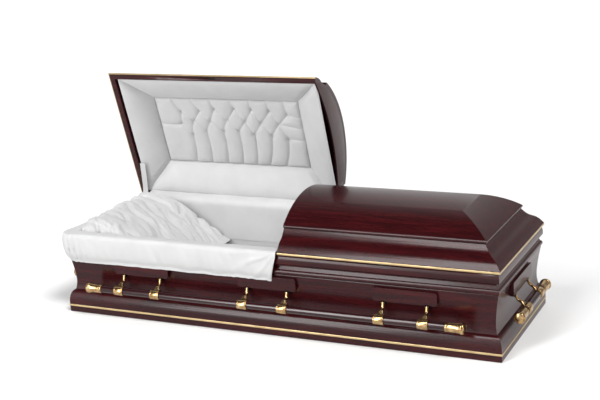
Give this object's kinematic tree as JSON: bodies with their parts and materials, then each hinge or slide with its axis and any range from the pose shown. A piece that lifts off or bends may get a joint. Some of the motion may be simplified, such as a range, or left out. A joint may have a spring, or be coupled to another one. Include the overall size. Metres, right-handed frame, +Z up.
{
  "type": "funeral casket",
  "caption": "Half-couch hardwood funeral casket: moulded case on a plinth, crowned lids hinged at the back, cloth-lined inside, swinging bar handles on every side.",
  "frame": {"origin": "centre of the plinth's underside, on the floor", "axes": "+X along the casket to the foot end, +Y across it to the hinged side, +Z up"},
  "size_m": [2.258, 0.8882, 1.0687],
  "materials": {
    "mahogany": "satin lacquer",
    "bar_wood": "satin lacquer",
    "plain_wood": "planed",
    "gold_line": "satin",
    "brass": "polished, lacquered",
    "dark_metal": "blackened",
    "satin": "woven satin"
  },
  "bodies": {
    "case": {"plinth": "mahogany", "plinth_gold_line": "gold_line", "floor_board": "plain_wood", "front_wall": "mahogany", "back_wall": "mahogany", "head_wall": "mahogany", "foot_wall": "mahogany", "handle_lugs": "brass", "mattress": "satin", "pillow": "satin", "side_lining": "satin", "ledge_drape": "satin", "lock_plate": "dark_metal", "head_hinge_case_leaf": "dark_metal", "foot_hinge_case_leaf": "dark_metal", "front_handle_board_1": "mahogany", "front_handle_board_2": "mahogany", "front_handle_board_3": "mahogany", "back_handle_board_1": "mahogany", "back_handle_board_2": "mahogany", "back_handle_board_3": "mahogany", "head_handle_board": "mahogany", "foot_handle_board": "mahogany"},
    "head_lid": {"head_crown": "mahogany", "head_moulding": "mahogany", "head_gold_line": "gold_line", "head_end_board": "mahogany", "head_hinge_lid_leaf": "dark_metal", "head_catch_plate": "dark_metal", "lining_roll": "satin", "cap_panel": "satin"},
    "foot_lid": {"foot_crown": "mahogany", "foot_moulding": "mahogany", "foot_gold_line": "gold_line", "foot_end_board": "mahogany", "foot_hinge_lid_leaf": "dark_metal", "foot_catch_plate": "dark_metal"},
    "front_handle": {"front_bar": "bar_wood", "front_tips": "brass", "front_arm_1": "brass", "front_arm_2": "brass", "front_arm_3": "brass", "front_arm_4": "brass", "front_arm_5": "brass", "front_arm_6": "brass"},
    "back_handle": {"back_bar": "bar_wood", "back_tips": "brass", "back_arm_1": "brass", "back_arm_2": "brass", "back_arm_3": "brass", "back_arm_4": "brass", "back_arm_5": "brass", "back_arm_6": "brass"},
    "head_handle": {"head_bar": "bar_wood", "head_tips": "brass", "head_arms": "brass"},
    "foot_handle": {"foot_bar": "bar_wood", "foot_tips": "brass", "foot_arms": "brass"}
  },
  "joints": [
    {"name": "head_lid_hinge", "type": "hinge", "parent": "case", "child": "head_lid", "pos_m": [0, 0.3568, 0.386], "axis": [-1, 0, 0], "range_deg": [-72.2, 0]},
    {"name": "foot_lid_hinge", "type": "hinge", "parent": "case", "child": "foot_lid", "pos_m": [0, 0.3568, 0.386], "axis": [-1, 0, 0], "range_deg": [0, 73.6]},
    {"name": "front_handle_swing", "type": "hinge", "parent": "case", "child": "front_handle", "pos_m": [0, -0.343, 0.205], "axis": [-1, 0, 0], "range_deg": [0, 48]},
    {"name": "back_handle_swing", "type": "hinge", "parent": "case", "child": "back_handle", "pos_m": [0, 0.343, 0.205], "axis": [1, 0, 0], "range_deg": [0, 48]},
    {"name": "head_handle_swing", "type": "hinge", "parent": "case", "child": "head_handle", "pos_m": [-1.053, 0, 0.205], "axis": [0, 1, 0], "range_deg": [0, 48]},
    {"name": "foot_handle_swing", "type": "hinge", "parent": "case", "child": "foot_handle", "pos_m": [1.053, 0, 0.205], "axis": [0, -1, 0], "range_deg": [0, 48]}
  ]
}
